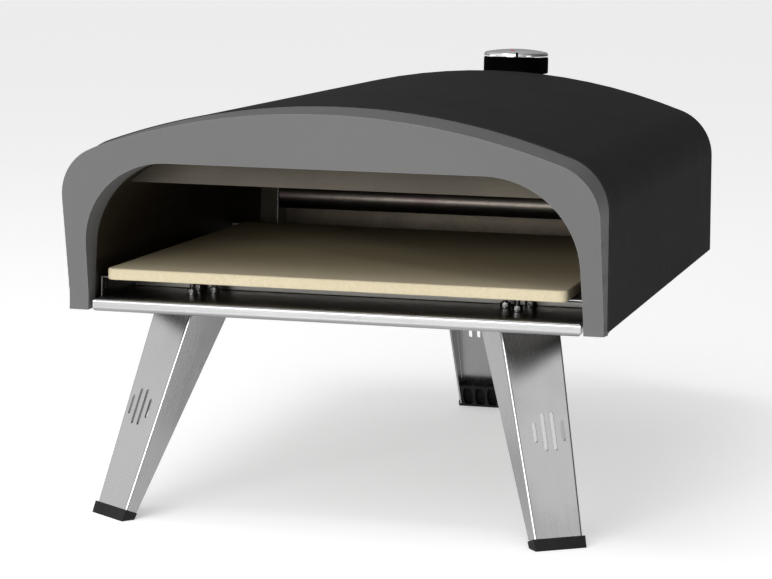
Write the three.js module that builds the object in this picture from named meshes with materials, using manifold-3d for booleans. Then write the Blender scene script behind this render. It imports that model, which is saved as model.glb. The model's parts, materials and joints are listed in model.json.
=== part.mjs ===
// Countertop gas pizza oven on three folding legs.
//
// Millimetres, +Z up. The origin is on the table, under the middle of the oven's footprint.
// +Y runs from the mouth to the back, +X is to the right of someone facing the mouth.
// Most sub-parts are drawn in the oven group, whose zero is the lower front edge of the bezel:
// y grows into the oven and z grows up from the bezel's bottom edge.
import * as THREE from 'three';
import { mergeVertices } from 'three/addons/utils/BufferGeometryUtils.js';
import Module from 'manifold-3d';

const wasm = await Module();
wasm.setup();

// ---------------------------------------------------------------- driving dimensions
const SHEET = 1.5;            // outer sheet metal
const THIN_SHEET = 1.2;       // inner sheet metal
const GAP = 0.3;              // clearance kept between touching pieces
const STAND_HEIGHT = 154.2;   // table to the bezel's bottom edge

// Outer arch: leaning sides, tangent shoulder arcs, one shallow crown arc.
const ARCH = { half: 197, taper: 0.0145, crown: 150.7, radius: 492, shoulder: 40.3 };
// Mouth: leaning sides, corner arcs, flat top.
const MOUTH = { half: 182.8, taper: 0.0355, top: 111.3, corner: 65.5 };

const RAKE = THREE.MathUtils.degToRad(14.7);   // the bezel leans forward above its upright foot
const RAKE_START = 11.6;
const NOSE = (ARCH.crown - RAKE_START) * Math.tan(RAKE);
// The bezel's band widens evenly from its face until it is nearly flush with the hood at the seam.
const BEZEL = { lipDepth: 14, bandDepth: 24, seam: 0.8, flush: 0.3, step: 8, run: 25 };

const HOOD = { front: 10.6, back: 537.3, bottom: 2.1, stepOut: 1.9, crownRise: 1.2, lipInner: 183 };
const REAR_PANEL_Y = 534;
const FLOOR = { half: 194.5, front: 14.4, back: 533.5, top: 6.3 };
const TRAY = { half: 180, front: 95, back: 428, top: 10.6 };
const LIP_BAR = { half: 180.3, front: 3, back: 14, low: -1.1, high: 8.4, corner: 2.6 };
const LINER = { front: 14.5, back: 430, grow: 0.8 };
const HEADER = { y: 34, low: 91.5, flange: 15 };

const STONE = { half: 170, front: 2.8, depth: 340, low: 22.4, thick: 8.4, corner: 6 };
const LEDGE = { inner: 160, outer: 181.8, front: 24, stop: 344, stopHeight: 29 };

const BURNER = { y: 388, z: 50, radius: 11, half: 150, ports: 11, portPitch: 27, portRadius: 1.8 };
const BURNER_BRACKET = { front: 376, back: 402, top: 63, foot: 16, hook: 26 };
const VALVE = { x: 14, y: 570, half: 13, depth: 12, low: 86, high: 118, boss: 6 };
const VENTURI = { radius: 9, back: 500, bell: 14, slotHeight: 3 };
const INJECTOR = { tip: 492, seat: 503, back: 515, bore: 0.8, socket: 3.5, hexagon: 7.4 };
const PIPE_RADIUS = 4;
const HOUSING = { half: 52, front: 535.9, back: 602, low: 30, high: 144, corner: 8, ear: 10 };
const INLET = { x: 50, y: 570, low: 10, high: 42, thread: 4, collar: 10.5 };
const PROBE_Z = 66;           // height of the electrode and the flame probe
const IGNITER = { x: -70, front: 404, back: 452, radius: 3.4 };
const PROBE = { x: 98, front: 383, back: 454, radius: 2 };

const KNOB = { radius: 29, low: 150.3, joint: 165, high: 171.9 };
const STEM_RADIUS = 4;

// Each leg is drawn about its hinge: x along the pin, y towards the inside, z up.
const LEG = {
  drop: 5.5,                  // hinge axis below the bezel's bottom edge
  hingeDepth: 25.1,           // outer face to hinge axis, at the height of the axis
  splay: 55 / 147,
  webWidth: 48.6, webTaper: 10.1 / 147,
  flangeDepth: 35, flangeTaper: 24 / 147,
  end: 2.5,                   // sheet ends this far above the table
};
const LEG_GROUND = -(STAND_HEIGHT - LEG.drop);
// Upright slots in the web: [offset from their middle, half length].
const LEG_SLOTS = { x: 3.5, z: -69.5, half: 1.5, each: [[-11.25, 7], [-3.75, 13], [3.75, 13], [11.25, 7]] };
const FRONT_HINGE = { x: 120.2, y: 71.65, turn: THREE.MathUtils.degToRad(37.5) };
const REAR_HINGE = { x: -8.5, y: 485 };
const FOOT = { wall: 1.2, height: 8, plug: 20 };
const POCKET = { pitch: 11.2, half: 5, end: 3.1, low: 2.2, high: 18, back: 1 };
const PIN_RADIUS = 2.5;
const BRACKET = { half: 24, front: -16, back: 17, low: 8.3, high: 10, earOut: 21.9, earThick: 1.8 };
const BOLTS = [[-3.5, -9.7], [-3.5, 10.3], [16.5, 10.3]];
const BOLT_RADIUS = 1.9;
const HOOD_SCREWS = [[-190, 80], [190, 80], [-190, 470], [190, 470]];

// ---------------------------------------------------------------- solids
// A closed three.js geometry as a solid, facing out, without zero-area triangles.
function solid(geometry) {
  geometry.deleteAttribute('normal');
  geometry.deleteAttribute('uv');
  const merged = mergeVertices(geometry, 1e-3);
  const position = merged.attributes.position.array;
  const kept = [];
  const index = merged.index.array;
  for (let i = 0; i < index.length; i += 3) {
    const [a, b, c] = [index[i], index[i + 1], index[i + 2]];
    if (a !== b && b !== c && c !== a) kept.push(a, b, c);
  }
  const corner = [0, 1, 2].map(() => new THREE.Vector3());
  let volume = 0;
  for (let i = 0; i < kept.length; i += 3) {
    corner.forEach((v, k) => v.fromArray(position, kept[i + k] * 3));
    volume += corner[0].dot(corner[1].clone().cross(corner[2]));
  }
  if (volume < 0) kept.reverse();
  return new wasm.Manifold(new wasm.Mesh({
    numProp: 3,
    vertProperties: new Float32Array(position),
    triVerts: new Uint32Array(kept),
  }));
}

function join(first, ...rest) {
  return rest.reduce((sum, next) => sum.add(next), first);
}

function cut(first, ...rest) {
  return rest.reduce((left, next) => left.subtract(next), first);
}

const ALONG_X = new THREE.Matrix4().makeBasis(
  new THREE.Vector3(0, 1, 0), new THREE.Vector3(0, 0, 1), new THREE.Vector3(1, 0, 0));

function prism(shape, depth, segments) {
  return new THREE.ExtrudeGeometry(shape, { depth, bevelEnabled: false, curveSegments: segments });
}

// Shape drawn in x and z, running along y.
function prismY(shape, y0, y1, segments = 8) {
  return solid(prism(shape, y1 - y0, segments).rotateX(Math.PI / 2).translate(0, y1, 0));
}

// Shape drawn in y and z, running along x.
function prismX(shape, x0, x1, segments = 8) {
  return solid(prism(shape, x1 - x0, segments).applyMatrix4(ALONG_X).translate(x0, 0, 0));
}

// Shape drawn in x and y, running along z.
function prismZ(shape, z0, z1, segments = 8) {
  return solid(prism(shape, z1 - z0, segments).translate(0, 0, z0));
}

function block([x0, x1], [y0, y1], [z0, z1]) {
  const box = new THREE.BoxGeometry(x1 - x0, y1 - y0, z1 - z0);
  return solid(box.translate((x0 + x1) / 2, (y0 + y1) / 2, (z0 + z1) / 2));
}

// Turned piece: profile of [radius, height] pairs about the axis 'x', 'y' or 'z' through `at`.
function turned(profile, axis, at = [0, 0, 0], sides = 16) {
  const points = profile.map(([r, h]) => new THREE.Vector2(r, h));
  const lathe = new THREE.LatheGeometry(points, sides);
  if (axis === 'z') lathe.rotateX(Math.PI / 2);
  if (axis === 'x') lathe.rotateZ(-Math.PI / 2);
  return solid(lathe.translate(...at));
}

function rod(radius, from, to, axis, at, sides = 16) {
  return turned([[0, from], [radius, from], [radius, to], [0, to]], axis, at, sides);
}

// Round bar or pipe along a smooth curve through the given points.
function bar(points, radius, steps, sides = 4) {
  const section = new THREE.Shape();
  section.absarc(0, 0, radius, 0, 2 * Math.PI);
  const path = new THREE.CatmullRomCurve3(points.map((p) => new THREE.Vector3(...p)));
  return solid(new THREE.ExtrudeGeometry(section, {
    steps, curveSegments: sides, bevelEnabled: false, extrudePath: path,
  }));
}

function polygon(points) {
  return new THREE.Shape(points.map(([a, b]) => new THREE.Vector2(a, b)));
}

function roundedRect(a0, a1, b0, b1, r) {
  const shape = new THREE.Shape();
  shape.moveTo(a0 + r, b0);
  shape.lineTo(a1 - r, b0);
  shape.absarc(a1 - r, b0 + r, r, -Math.PI / 2, 0);
  shape.absarc(a1 - r, b1 - r, r, 0, Math.PI / 2);
  shape.absarc(a0 + r, b1 - r, r, Math.PI / 2, Math.PI);
  shape.absarc(a0 + r, b0 + r, r, Math.PI, 1.5 * Math.PI);
  return shape;
}

// ---------------------------------------------------------------- outlines
// The outer arch grown by `grow`, cut off flat at `bottom`; `rise` lifts the crown a little more.
function archShape(grow, bottom, rise = 0) {
  const slope = Math.hypot(1, ARCH.taper);
  const edge = ARCH.half + grow * slope;
  const shoulder = ARCH.shoulder + grow;
  const radius = ARCH.radius + grow;
  const centreZ = ARCH.crown + grow + rise - radius;
  // The shoulder's centre lies one shoulder radius inside both the side line and the crown arc.
  const reach = edge - shoulder * slope;
  const b = reach * ARCH.taper + centreZ;
  const c = reach ** 2 + centreZ ** 2 - (radius - shoulder) ** 2;
  const z = (b + Math.sqrt(b * b - slope ** 2 * c)) / slope ** 2;
  const x = reach - ARCH.taper * z;
  const sideAngle = Math.atan(ARCH.taper);
  const crownAngle = Math.atan2(z - centreZ, x);
  const foot = edge - ARCH.taper * bottom;
  const shape = new THREE.Shape();
  shape.moveTo(foot, bottom);
  shape.lineTo(x + shoulder * Math.cos(sideAngle), z + shoulder * Math.sin(sideAngle));
  shape.absarc(x, z, shoulder, sideAngle, crownAngle);
  shape.absarc(0, centreZ, radius, crownAngle, Math.PI - crownAngle);
  shape.absarc(-x, z, shoulder, Math.PI - crownAngle, Math.PI - sideAngle);
  shape.lineTo(-foot, bottom);
  return shape;
}

// The mouth outline grown by `grow`, cut off flat at `bottom`.
function mouthShape(grow, bottom) {
  const slope = Math.hypot(1, MOUTH.taper);
  const edge = MOUTH.half + grow * slope;
  const corner = MOUTH.corner + grow;
  const z = MOUTH.top + grow - corner;
  const x = edge - corner * slope - MOUTH.taper * z;
  const sideAngle = Math.atan(MOUTH.taper);
  const foot = edge - MOUTH.taper * bottom;
  const shape = new THREE.Shape();
  shape.moveTo(foot, bottom);
  shape.lineTo(x + corner * Math.cos(sideAngle), z + corner * Math.sin(sideAngle));
  shape.absarc(x, z, corner, sideAngle, Math.PI / 2);
  shape.absarc(-x, z, corner, Math.PI / 2, Math.PI - sideAngle);
  shape.lineTo(-foot, bottom);
  return shape;
}

// ---------------------------------------------------------------- casing
function hoodShell() {
  const lipTop = HOOD.bottom + SHEET;
  const outer = prismY(archShape(HOOD.stepOut, HOOD.bottom, HOOD.crownRise), HOOD.front, HOOD.back);
  const inner = prismY(archShape(HOOD.stepOut - SHEET, lipTop, HOOD.crownRise),
    HOOD.front - 1, HOOD.back + 1);
  const wide = [-HOOD.lipInner, HOOD.lipInner];
  const below = [HOOD.bottom - 1, lipTop + 1];
  const between = block(wide, [HOOD.front - 1, HOOD.back + 1], below);
  // The bottom lips start behind the bezel's band.
  const frontHalf = ARCH.half + HOOD.stepOut - SHEET;
  const notch = block([-frontHalf, frontHalf], [HOOD.front - 1, BEZEL.bandDepth + 1], below);
  const holes = HOOD_SCREWS.map(([x, y]) => rod(2.4, 0, 10, 'z', [x, y, 0], 8));
  return cut(outer, inner, between, notch, ...holes);
}

// Everything behind the bezel's front face, set back by `back`.
function behindFace(back, end) {
  const top = ARCH.crown + 10;
  const lean = (top - RAKE_START) * Math.tan(RAKE);
  const side = [[back, -5], [back, RAKE_START], [back - lean, top], [end, top], [end, -5]];
  return prismX(polygon(side), -220, 220);
}

// The arch as it is at the raked face, widening evenly to the hood's outline at the seam.
function flaredBand() {
  const seam = HOOD.front - BEZEL.seam;
  const sideGrowth = (HOOD.stepOut - BEZEL.flush) / ARCH.half;
  const crownGrowth = (HOOD.stepOut + HOOD.crownRise - BEZEL.flush) / ARCH.crown;
  const corners = archShape(0, 0).getPoints(12);
  const outline = corners.slice(0, -1).flatMap((from, i) => {
    const to = corners[i + 1];
    const steps = Math.ceil(from.distanceTo(to) / BEZEL.step);
    return Array.from({ length: steps }, (_, k) => from.clone().lerp(to, k / steps));
  });
  const body = prism(new THREE.Shape([...outline, corners.at(-1)]), 1, 1).rotateX(Math.PI / 2);
  const place = body.attributes.position;
  for (let i = 0; i < place.count; i++) {
    const z = place.getZ(i);
    const face = -Math.max(0, z - RAKE_START) * Math.tan(RAKE);
    const y = place.getY(i) < -0.5 ? face - BEZEL.run : seam;   // in front of the face, or at the seam
    const share = (y - face) / (seam - face);
    place.setXYZ(i, place.getX(i) * (1 + share * sideGrowth), y, z * (1 + share * crownGrowth));
  }
  return solid(body);
}

function frontBezel() {
  const tongue = prismY(archShape(0, 0), 0, BEZEL.bandDepth);
  const frame = cut(
    join(flaredBand(), tongue).intersect(behindFace(0, 60)),
    prismY(mouthShape(0, -1), -70, 70));
  const hollow = cut(
    prismY(archShape(-SHEET, SHEET), -60, 60).intersect(behindFace(SHEET, 60)),
    prismY(mouthShape(SHEET, -1), -70, 70));
  const behindLip = prismY(archShape(-SHEET, -1), BEZEL.lipDepth, 60);
  return cut(frame, hollow, behindLip);
}

function lipBar() {
  const { half, front, back, low, high, corner } = LIP_BAR;
  const section = new THREE.Shape();
  section.moveTo(back, low);
  section.lineTo(back, high);
  section.lineTo(front + corner, high);
  section.absarc(front + corner, high - corner, corner, Math.PI / 2, Math.PI);
  section.absarc(front + corner, low + corner, corner, Math.PI, 1.5 * Math.PI);
  const face = roundedRect(-half, half, low - 0.01, high + 0.01, corner);
  const grooves = [2.3, 4.9].map((z) => block([-200, 200], [front - 1, front + 0.35], [z, z + 0.5]));
  return cut(prismX(section, -half, half).intersect(prismY(face, front - 2, back + 2)), ...grooves);
}

function floorPan(drillings) {
  const plate = block([-FLOOR.half, FLOOR.half], [FLOOR.front, FLOOR.back],
    [FLOOR.top - SHEET, FLOOR.top]);
  return cut(plate, ...drillings);
}

function floorTray() {
  const { half, front, back, top } = TRAY;
  return join(
    block([-half, half], [front, back], [top - THIN_SHEET, top]),
    block([-half, half], [front, front + THIN_SHEET], [FLOOR.top + GAP, top]));
}

function rearPanel() {
  const inset = HOOD.stepOut - SHEET - 0.4;
  const outline = archShape(inset, HOOD.bottom + SHEET + GAP, HOOD.crownRise);
  const plate = prismY(outline, REAR_PANEL_Y, REAR_PANEL_Y + SHEET, 6);
  const slots = [];
  for (const side of [-1, 1]) {
    for (let i = 0; i < 6; i += 1) {
      const x = side * (96 + 13 * i);
      slots.push(prismY(roundedRect(x - 2.5, x + 2.5, 48, 92, 2.5), 500, 560, 1));
    }
  }
  const passage = block([VALVE.x - 30, VALVE.x + 30], [500, 560], [38, 122]);
  const screws = housingScrewPlaces().map(([x, z]) => rod(2.1, 500, 560, 'y', [x, 0, z], 8));
  return cut(plate, passage, ...slots, ...screws);
}

// ---------------------------------------------------------------- firebox
function linerTunnel() {
  const bottom = FLOOR.top + GAP;
  return cut(
    prismY(mouthShape(LINER.grow + THIN_SHEET, bottom), LINER.front, LINER.back),
    prismY(mouthShape(LINER.grow, bottom - 5), LINER.front - 5, LINER.back + 5));
}

function linerHeader() {
  const { y, low, flange } = HEADER;
  const top = MOUTH.top + LINER.grow - 0.4;
  const strip = prismY(mouthShape(LINER.grow - 0.4, 0), y, y + THIN_SHEET)
    .intersect(block([-200, 200], [0, 100], [low, 200]));
  const straight = MOUTH.half - MOUTH.corner - MOUTH.taper * MOUTH.top;
  return join(strip, block([-straight, straight], [y, y + flange], [top - THIN_SHEET, top]));
}

function linerRearWall() {
  const outline = mouthShape(LINER.grow + THIN_SHEET, FLOOR.top + GAP);
  const wall = prismY(outline, LINER.back + GAP, LINER.back + GAP + THIN_SHEET, 5);
  const through = (x, z, r) => rod(r, LINER.back - 5, LINER.back + 5, 'y', [x, 0, z], 12);
  return cut(wall, through(VALVE.x, BURNER.z, VENTURI.radius + 0.6),
    through(IGNITER.x, PROBE_Z, IGNITER.radius + 0.5), through(PROBE.x, PROBE_Z, PROBE.radius + 0.5));
}

function insulationBlanket() {
  return cut(
    prismY(archShape(HOOD.stepOut - SHEET - 0.5, 9.6, HOOD.crownRise), 26, 425, 4),
    prismY(mouthShape(LINER.grow + THIN_SHEET + 0.5, 0), 20, 430, 5));
}

function stoneLedge(side) {
  const { inner, outer, front, stop, stopHeight } = LEDGE;
  const across = (a, b) => (side > 0 ? [a, b] : [-b, -a]);
  const top = STONE.low - GAP;
  return join(
    block(across(inner, outer), [front, stop], [top - THIN_SHEET, top]),
    block(across(outer - THIN_SHEET, outer), [front, stop], [FLOOR.top + GAP, top]),
    block(across(inner, outer), [stop, stop + THIN_SHEET], [top - THIN_SHEET, stopHeight]));
}

function pizzaStone() {
  const { half, front, depth, low, thick, corner } = STONE;
  return prismZ(roundedRect(-half, half, front, front + depth, corner), low, low + thick, 4);
}

// ---------------------------------------------------------------- gas train
function burnerTube() {
  const { y, z, radius, half, ports, portPitch, portRadius } = BURNER;
  const shell = cut(
    rod(radius, -half, half, 'x', [0, y, z]),
    rod(radius - THIN_SHEET, -half + THIN_SHEET, half - THIN_SHEET, 'x', [0, y, z]));
  const drilled = [];
  for (let i = 0; i < ports; i += 1) {
    const x = (i - (ports - 1) / 2) * portPitch;
    const port = new THREE.CylinderGeometry(portRadius, portRadius, radius, 6);
    drilled.push(solid(port.translate(0, radius, 0).rotateX(Math.PI / 4).translate(x, y, z)));
  }
  const inlet = rod(VENTURI.radius - THIN_SHEET, y, y + 20, 'y', [VALVE.x, 0, z]);
  return cut(shell, inlet, ...drilled);
}

function burnerBracket(side) {
  const across = (a, b) => (side > 0 ? [a, b] : [-b, -a]);
  const { front, back, top, foot, hook } = BURNER_BRACKET;
  const x = BURNER.half + GAP;
  const low = TRAY.top + GAP;
  return join(
    block(across(x, x + THIN_SHEET), [front, back], [low, top]),
    block(across(x, x + foot), [front, back], [low, low + THIN_SHEET]),
    block(across(x, x + hook), [front, back], [top - THIN_SHEET, top]));
}

function venturiTube() {
  const { radius, back, bell, slotHeight } = VENTURI;
  const bore = radius - THIN_SHEET;
  const flare = 2;
  const tube = turned([[bore, BURNER.y], [radius, BURNER.y], [radius, back - bell],
    [radius + flare, back - bell + flare], [radius + flare, back], [bore + flare, back],
    [bore, back - bell], [bore, BURNER.y]], 'y', [VALVE.x, 0, BURNER.z]);
  const saddle = rod(BURNER.radius + GAP, -60, 60, 'x', [0, BURNER.y, BURNER.z]);
  const airHoles = block([VALVE.x - 20, VALVE.x + 20], [back - bell - 20, back - bell - 6],
    [BURNER.z - slotHeight, BURNER.z + slotHeight]);
  return cut(tube, saddle, airHoles);
}

function gasInjector() {
  const { tip, seat, back, bore, socket, hexagon } = INJECTOR;
  const at = [VALVE.x, 0, BURNER.z];
  const nozzle = turned([[bore, tip], [3, tip + 2], [3, seat], [6.5, seat], [6.5, back], [socket, back],
    [socket, seat + 2], [bore, seat + 2], [bore, tip]], 'y', at, 12);
  const flats = new THREE.CylinderGeometry(hexagon, hexagon, 6, 6)
    .translate(at[0], (seat + back) / 2, at[2]);
  return join(nozzle, cut(solid(flats), rod(5, seat - 3, back + 5, 'y', at, 12)));
}

function gasPipe() {
  const { x, y, low } = VALVE;
  return bar([[x, INJECTOR.back + GAP, BURNER.z], [x, y - 35, BURNER.z], [x, y - 14, BURNER.z + 1],
    [x, y - 2, BURNER.z + 12], [x, y, low - 12], [x, y, low - GAP]], PIPE_RADIUS, 16);
}

function gasValveBody() {
  const { x, y, half, depth, low, high, boss } = VALVE;
  const body = join(
    prismZ(roundedRect(x - half, x + half, y - depth, y + depth, 2), low, high, 2),
    rod(9, high - 1, high + boss, 'z', [x, y, 0]));
  return cut(body, rod(STEM_RADIUS + GAP, high - 10, high + 10, 'z', [x, y, 0]));
}

function gasInletPipe() {
  const start = VALVE.x + VALVE.half + GAP;
  const port = (VALVE.low + VALVE.high) / 2 - 2;
  const { x, y, high } = INLET;
  return bar([[start, VALVE.y, port], [start + 8, VALVE.y, port], [x - 3, y, port - 6],
    [x, y, port - 16], [x, y, high + 18], [x, y, high + GAP]], PIPE_RADIUS, 16);
}

// Ridged inlet with a hexagon collar, pointing down through the housing's floor.
function gasInletNipple() {
  const { x, y, low, high, thread, collar } = INLET;
  const at = [x, y, 0];
  const [bore, root] = [3.5, 7.4];
  const ridges = [];
  for (let z = low + 1; z < low + 15; z += thread) ridges.push([root, z], [root + 0.6, z + thread / 2]);
  const body = turned([[bore, high], [bore, low], [root - 0.8, low], ...ridges, [root, low + 16],
    [root, high], [bore, high]], 'z', at, 14);
  const flats = new THREE.CylinderGeometry(collar, collar, 7, 6).rotateX(Math.PI / 2)
    .translate(x, y, high - 6);
  return join(body, cut(solid(flats), rod(6, low, high + 2, 'z', at, 14)));
}

function igniterInsulator() {
  const { x, front, back, radius } = IGNITER;
  return turned([[1.2, front], [radius - 0.8, front], [radius, front + 4], [radius, back], [1.2, back],
    [1.2, front]], 'y', [x, 0, PROBE_Z], 16);
}

function igniterWire() {
  const { x, front } = IGNITER;
  return bar([[x, front + 16, PROBE_Z], [x, front - 2, PROBE_Z], [x, front - 11, PROBE_Z + 1],
    [x, front - 18, PROBE_Z - 2.4]], 0.8, 10, 4);
}

function thermocoupleProbe() {
  const { x, front, back, radius } = PROBE;
  return turned([[0, front], [radius - 0.4, front + 2], [radius, front + 6], [radius, back - 6],
    [radius + 1.4, back - 6], [radius + 1.4, back], [0, back]], 'y', [x, 0, PROBE_Z], 16);
}

// Leads clipped inside the rear compartment, from the burner's sensors to the valve's front face.
function sensorLead(startX, startY, endX, endZ, radius) {
  const side = Math.sign(startX);
  const valveFront = VALVE.y - VALVE.depth - GAP;
  return bar([[startX, startY, PROBE_Z], [startX, 478, PROBE_Z + 1], [startX - side * 30, 505, 86],
    [endX + side * 8, 524, endZ - 5], [endX, 542, endZ], [endX, valveFront, endZ]], radius, 16, 3);
}

// ---------------------------------------------------------------- valve housing and knob
function housingScrewPlaces() {
  const reach = HOUSING.half + HOUSING.ear / 2;
  const z = (HOUSING.low + HOUSING.high) / 2;
  return [[VALVE.x - reach, z], [VALVE.x + reach, z]];
}

function housingPlan(grow, front) {
  const { half, back, corner } = HOUSING;
  const shape = new THREE.Shape();
  const r = corner + grow;
  const [x0, x1] = [VALVE.x - half - grow, VALVE.x + half + grow];
  shape.moveTo(x0, front);
  shape.lineTo(x1, front);
  shape.lineTo(x1, back + grow - r);
  shape.absarc(x1 - r, back + grow - r, r, 0, Math.PI / 2);
  shape.absarc(x0 + r, back + grow - r, r, Math.PI / 2, Math.PI);
  return shape;
}

function valveHousing() {
  const { half, front, low, high, ear } = HOUSING;
  const box = join(
    prismZ(housingPlan(0, front), low, high, 3),
    block([VALVE.x - half - ear, VALVE.x + half + ear], [front, front + SHEET], [low, high]));
  const inside = prismZ(housingPlan(-SHEET, front - 5), low + SHEET, high - SHEET, 3);
  const stemHole = rod(8, high - 5, high + 5, 'z', [VALVE.x, VALVE.y, 0]);
  const inletHole = rod(8.5, low - 5, low + 5, 'z', [INLET.x, INLET.y, 0]);
  const screws = housingScrewPlaces().map(([x, z]) => rod(2.4, 530, 545, 'y', [x, 0, z], 8));
  return cut(box, inside, stemHole, inletHole, ...screws);
}

// Pan-head screw along z, head down, or along y with the head to the back.
function screw(radius, length, headRadius, headHeight, axis) {
  const toward = axis === 'z' ? 1 : -1;
  const profile = [[0, -headHeight], [headRadius * 0.7, -headHeight], [headRadius, -headHeight * 0.5],
    [headRadius, 0], [radius, 0], [radius, length - 1], [radius - 0.6, length], [0, length]];
  return turned(profile.map(([r, h]) => [r, h * toward]), axis, [0, 0, 0], 10);
}

// Trim ring under the knob, over the housing's stem hole.
function knobRing() {
  const { high } = HOUSING;
  return turned([[10, high + GAP], [27, high + GAP], [27, high + 1], [26, high + 1.5],
    [10, high + 1.5], [10, high + GAP]], 'z', [0, 0, 0], 28);
}

// Spindle from inside the valve body to the knob.
function valveStem() {
  const top = KNOB.joint - 2.3;
  return turned([[0, VALVE.high - 5], [STEM_RADIUS, VALVE.high - 5], [STEM_RADIUS, top - 1],
    [STEM_RADIUS - 1, top], [0, top]], 'z');
}

function knobGrip() {
  const { radius, low, joint } = KNOB;
  const bore = STEM_RADIUS + GAP;
  return turned([[0, joint - 2], [bore, joint - 2], [bore, low], [radius - 1, low], [radius, low + 1],
    [radius, joint - 1.2], [radius - 0.6, joint], [0, joint]], 'z', [0, 0, 0], 36);
}

function knobCap() {
  const { radius, joint, high } = KNOB;
  const rim = joint + 4.4;
  const cap = turned([[0, joint + GAP], [radius - 0.4, joint + GAP], [radius, joint + 0.8],
    [radius, rim - 0.8], [radius - 0.9, rim], [radius * 0.6, rim + 1.5], [0, high]], 'z', [0, 0, 0], 36);
  const notch = block([-1, 1], [-radius - 2, -radius + 3.4], [joint, high + 1]);
  return cut(cap, notch);
}

// ---------------------------------------------------------------- legs
const webHalf = (z) => (LEG.webWidth - (LEG.drop - z) * LEG.webTaper) / 2;
const webY = (z) => -LEG.hingeDepth + z * LEG.splay;
const flangeY = (z) => webY(z) + LEG.flangeDepth - (LEG.drop - z) * LEG.flangeTaper;

// Block between the web plane and the flange edges, over the heights z0 to z1, grown by `grow`.
function legBlock(z0, z1, grow, inset = 0) {
  const side = polygon([[webY(z0) - grow, z0], [flangeY(z0) + grow - inset, z0],
    [flangeY(z1) + grow - inset, z1], [webY(z1) - grow, z1]]);
  const front = polygon([[-webHalf(z0) - grow, z0], [webHalf(z0) + grow, z0],
    [webHalf(z1) + grow, z1], [-webHalf(z1) - grow, z1]]);
  return prismX(side, -40, 40).intersect(prismY(front, -150, 60));
}

// Inside of the channel, open towards +y, with walls `wall` thick.
function channelInside(wall) {
  const [z0, z1] = [LEG_GROUND - 20, 30];
  const side = polygon([[webY(z0) + wall, z0], [80, z0], [80, z1], [webY(z1) + wall, z1]]);
  const front = polygon([[-webHalf(z0) + wall, z0], [webHalf(z0) - wall, z0],
    [webHalf(z1) - wall, z1], [-webHalf(z1) + wall, z1]]);
  return prismX(side, -40, 40).intersect(prismY(front, -150, 100));
}

// Folded channel: a tapered web with two flanges that are rounded about the hinge.
function legChannel(hand) {
  const bottom = LEG_GROUND + LEG.end;
  const along = new THREE.Vector2(flangeY(0) - flangeY(bottom), -bottom).normalize();
  const radius = flangeY(0) * along.y;
  const tangent = -Math.atan2(along.x, along.y);
  const side = new THREE.Shape();
  side.moveTo(webY(bottom), bottom);
  side.lineTo(flangeY(bottom), bottom);
  side.lineTo(radius * Math.cos(tangent), radius * Math.sin(tangent));
  side.absarc(0, 0, radius, tangent, Math.PI / 2);
  side.lineTo(webY(radius), radius);
  const outer = prismX(side, -40, 40, 3).intersect(legBlock(bottom - 1, 20, 0, -20));
  const hole = rod(PIN_RADIUS + GAP, -40, 40, 'x', [0, 0, 0], 10);
  return cut(outer, channelInside(SHEET), hole, ...legSlots(hand));
}

// Four plain upright slots through the web, a little towards its outer side.
function legSlots(hand) {
  const { x, z, half, each } = LEG_SLOTS;
  return each.map(([offset, reach]) => {
    const middle = x * hand + offset;
    return prismY(roundedRect(middle - half, middle + half, z - reach, z + reach, half), -100, 0, 1);
  });
}

// Everything below a line square to the web that meets its outer face `height` above the ground.
function belowSquare(height) {
  const [y, z] = [webY(LEG_GROUND + height), LEG_GROUND + height];
  const at = (inward) => [y + inward, z - inward * LEG.splay];
  return prismX(polygon([[y - 20, z - 40], [y + 40, z - 40], at(40), at(-20)]), -40, 40);
}

// Rubber foot: a cap outside the channel's end and a plug with open pockets inside it.
function rubberFoot() {
  const plugTop = LEG_GROUND + FOOT.plug;
  const wall = SHEET + GAP;
  const plug = legBlock(LEG_GROUND, plugTop, 0, 0.6).intersect(channelInside(wall));
  const cap = legBlock(LEG_GROUND, LEG_GROUND + FOOT.height + 2, FOOT.wall, FOOT.wall)
    .intersect(belowSquare(FOOT.height));
  const bottom = LEG_GROUND + LEG.end - GAP;
  const groove = cut(legBlock(bottom, 0, GAP), channelInside(wall));
  const { pitch, half, end, back } = POCKET;
  const [low, high] = [LEG_GROUND + POCKET.low, LEG_GROUND + POCKET.high];
  const middle = (low + high) / 2;
  const pockets = [-pitch, 0, pitch].map((x) => {
    const outline = polygon([[x - end, low], [x + end, low], [x + half, middle], [x + end, high],
      [x - end, high], [x - half, middle]]);
    return prismY(outline, -150, 60, 1).intersect(channelInside(wall + back));
  });
  return cut(join(cap, plug), groove, ...pockets);
}

// Base plate with two ears inside the leg's flanges.
function legBracket(hand) {
  const { half, front, back, low, high, earOut, earThick } = BRACKET;
  const ear = new THREE.Shape();
  ear.moveTo(7.5, low + 0.5);
  ear.lineTo(-7.5, low + 0.5);
  ear.lineTo(-7.5, 0);
  ear.absarc(0, 0, 7.5, Math.PI, 2 * Math.PI);
  const ears = [-earOut, earOut - earThick].map((x) => prismX(ear, x, x + earThick, 3));
  const plate = join(block([-half, half], [front, back], [low, high]), ...ears);
  const holes = BOLTS.map(([x, y]) => rod(BOLT_RADIUS + GAP, 0, 20, 'z', [x * hand, y, 0], 8));
  return cut(plate, rod(PIN_RADIUS + GAP, -40, 40, 'x', [0, 0, 0], 10), ...holes);
}

function legPin() {
  const shoulder = webHalf(0) + 0.45;
  const end = shoulder + 1.5;
  return turned([[0, -end], [3.4, -end], [3.4, -shoulder], [PIN_RADIUS, -shoulder],
    [PIN_RADIUS, shoulder], [3.4, shoulder], [3.4, end], [0, end]], 'x', [0, 0, 0], 10);
}

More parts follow.
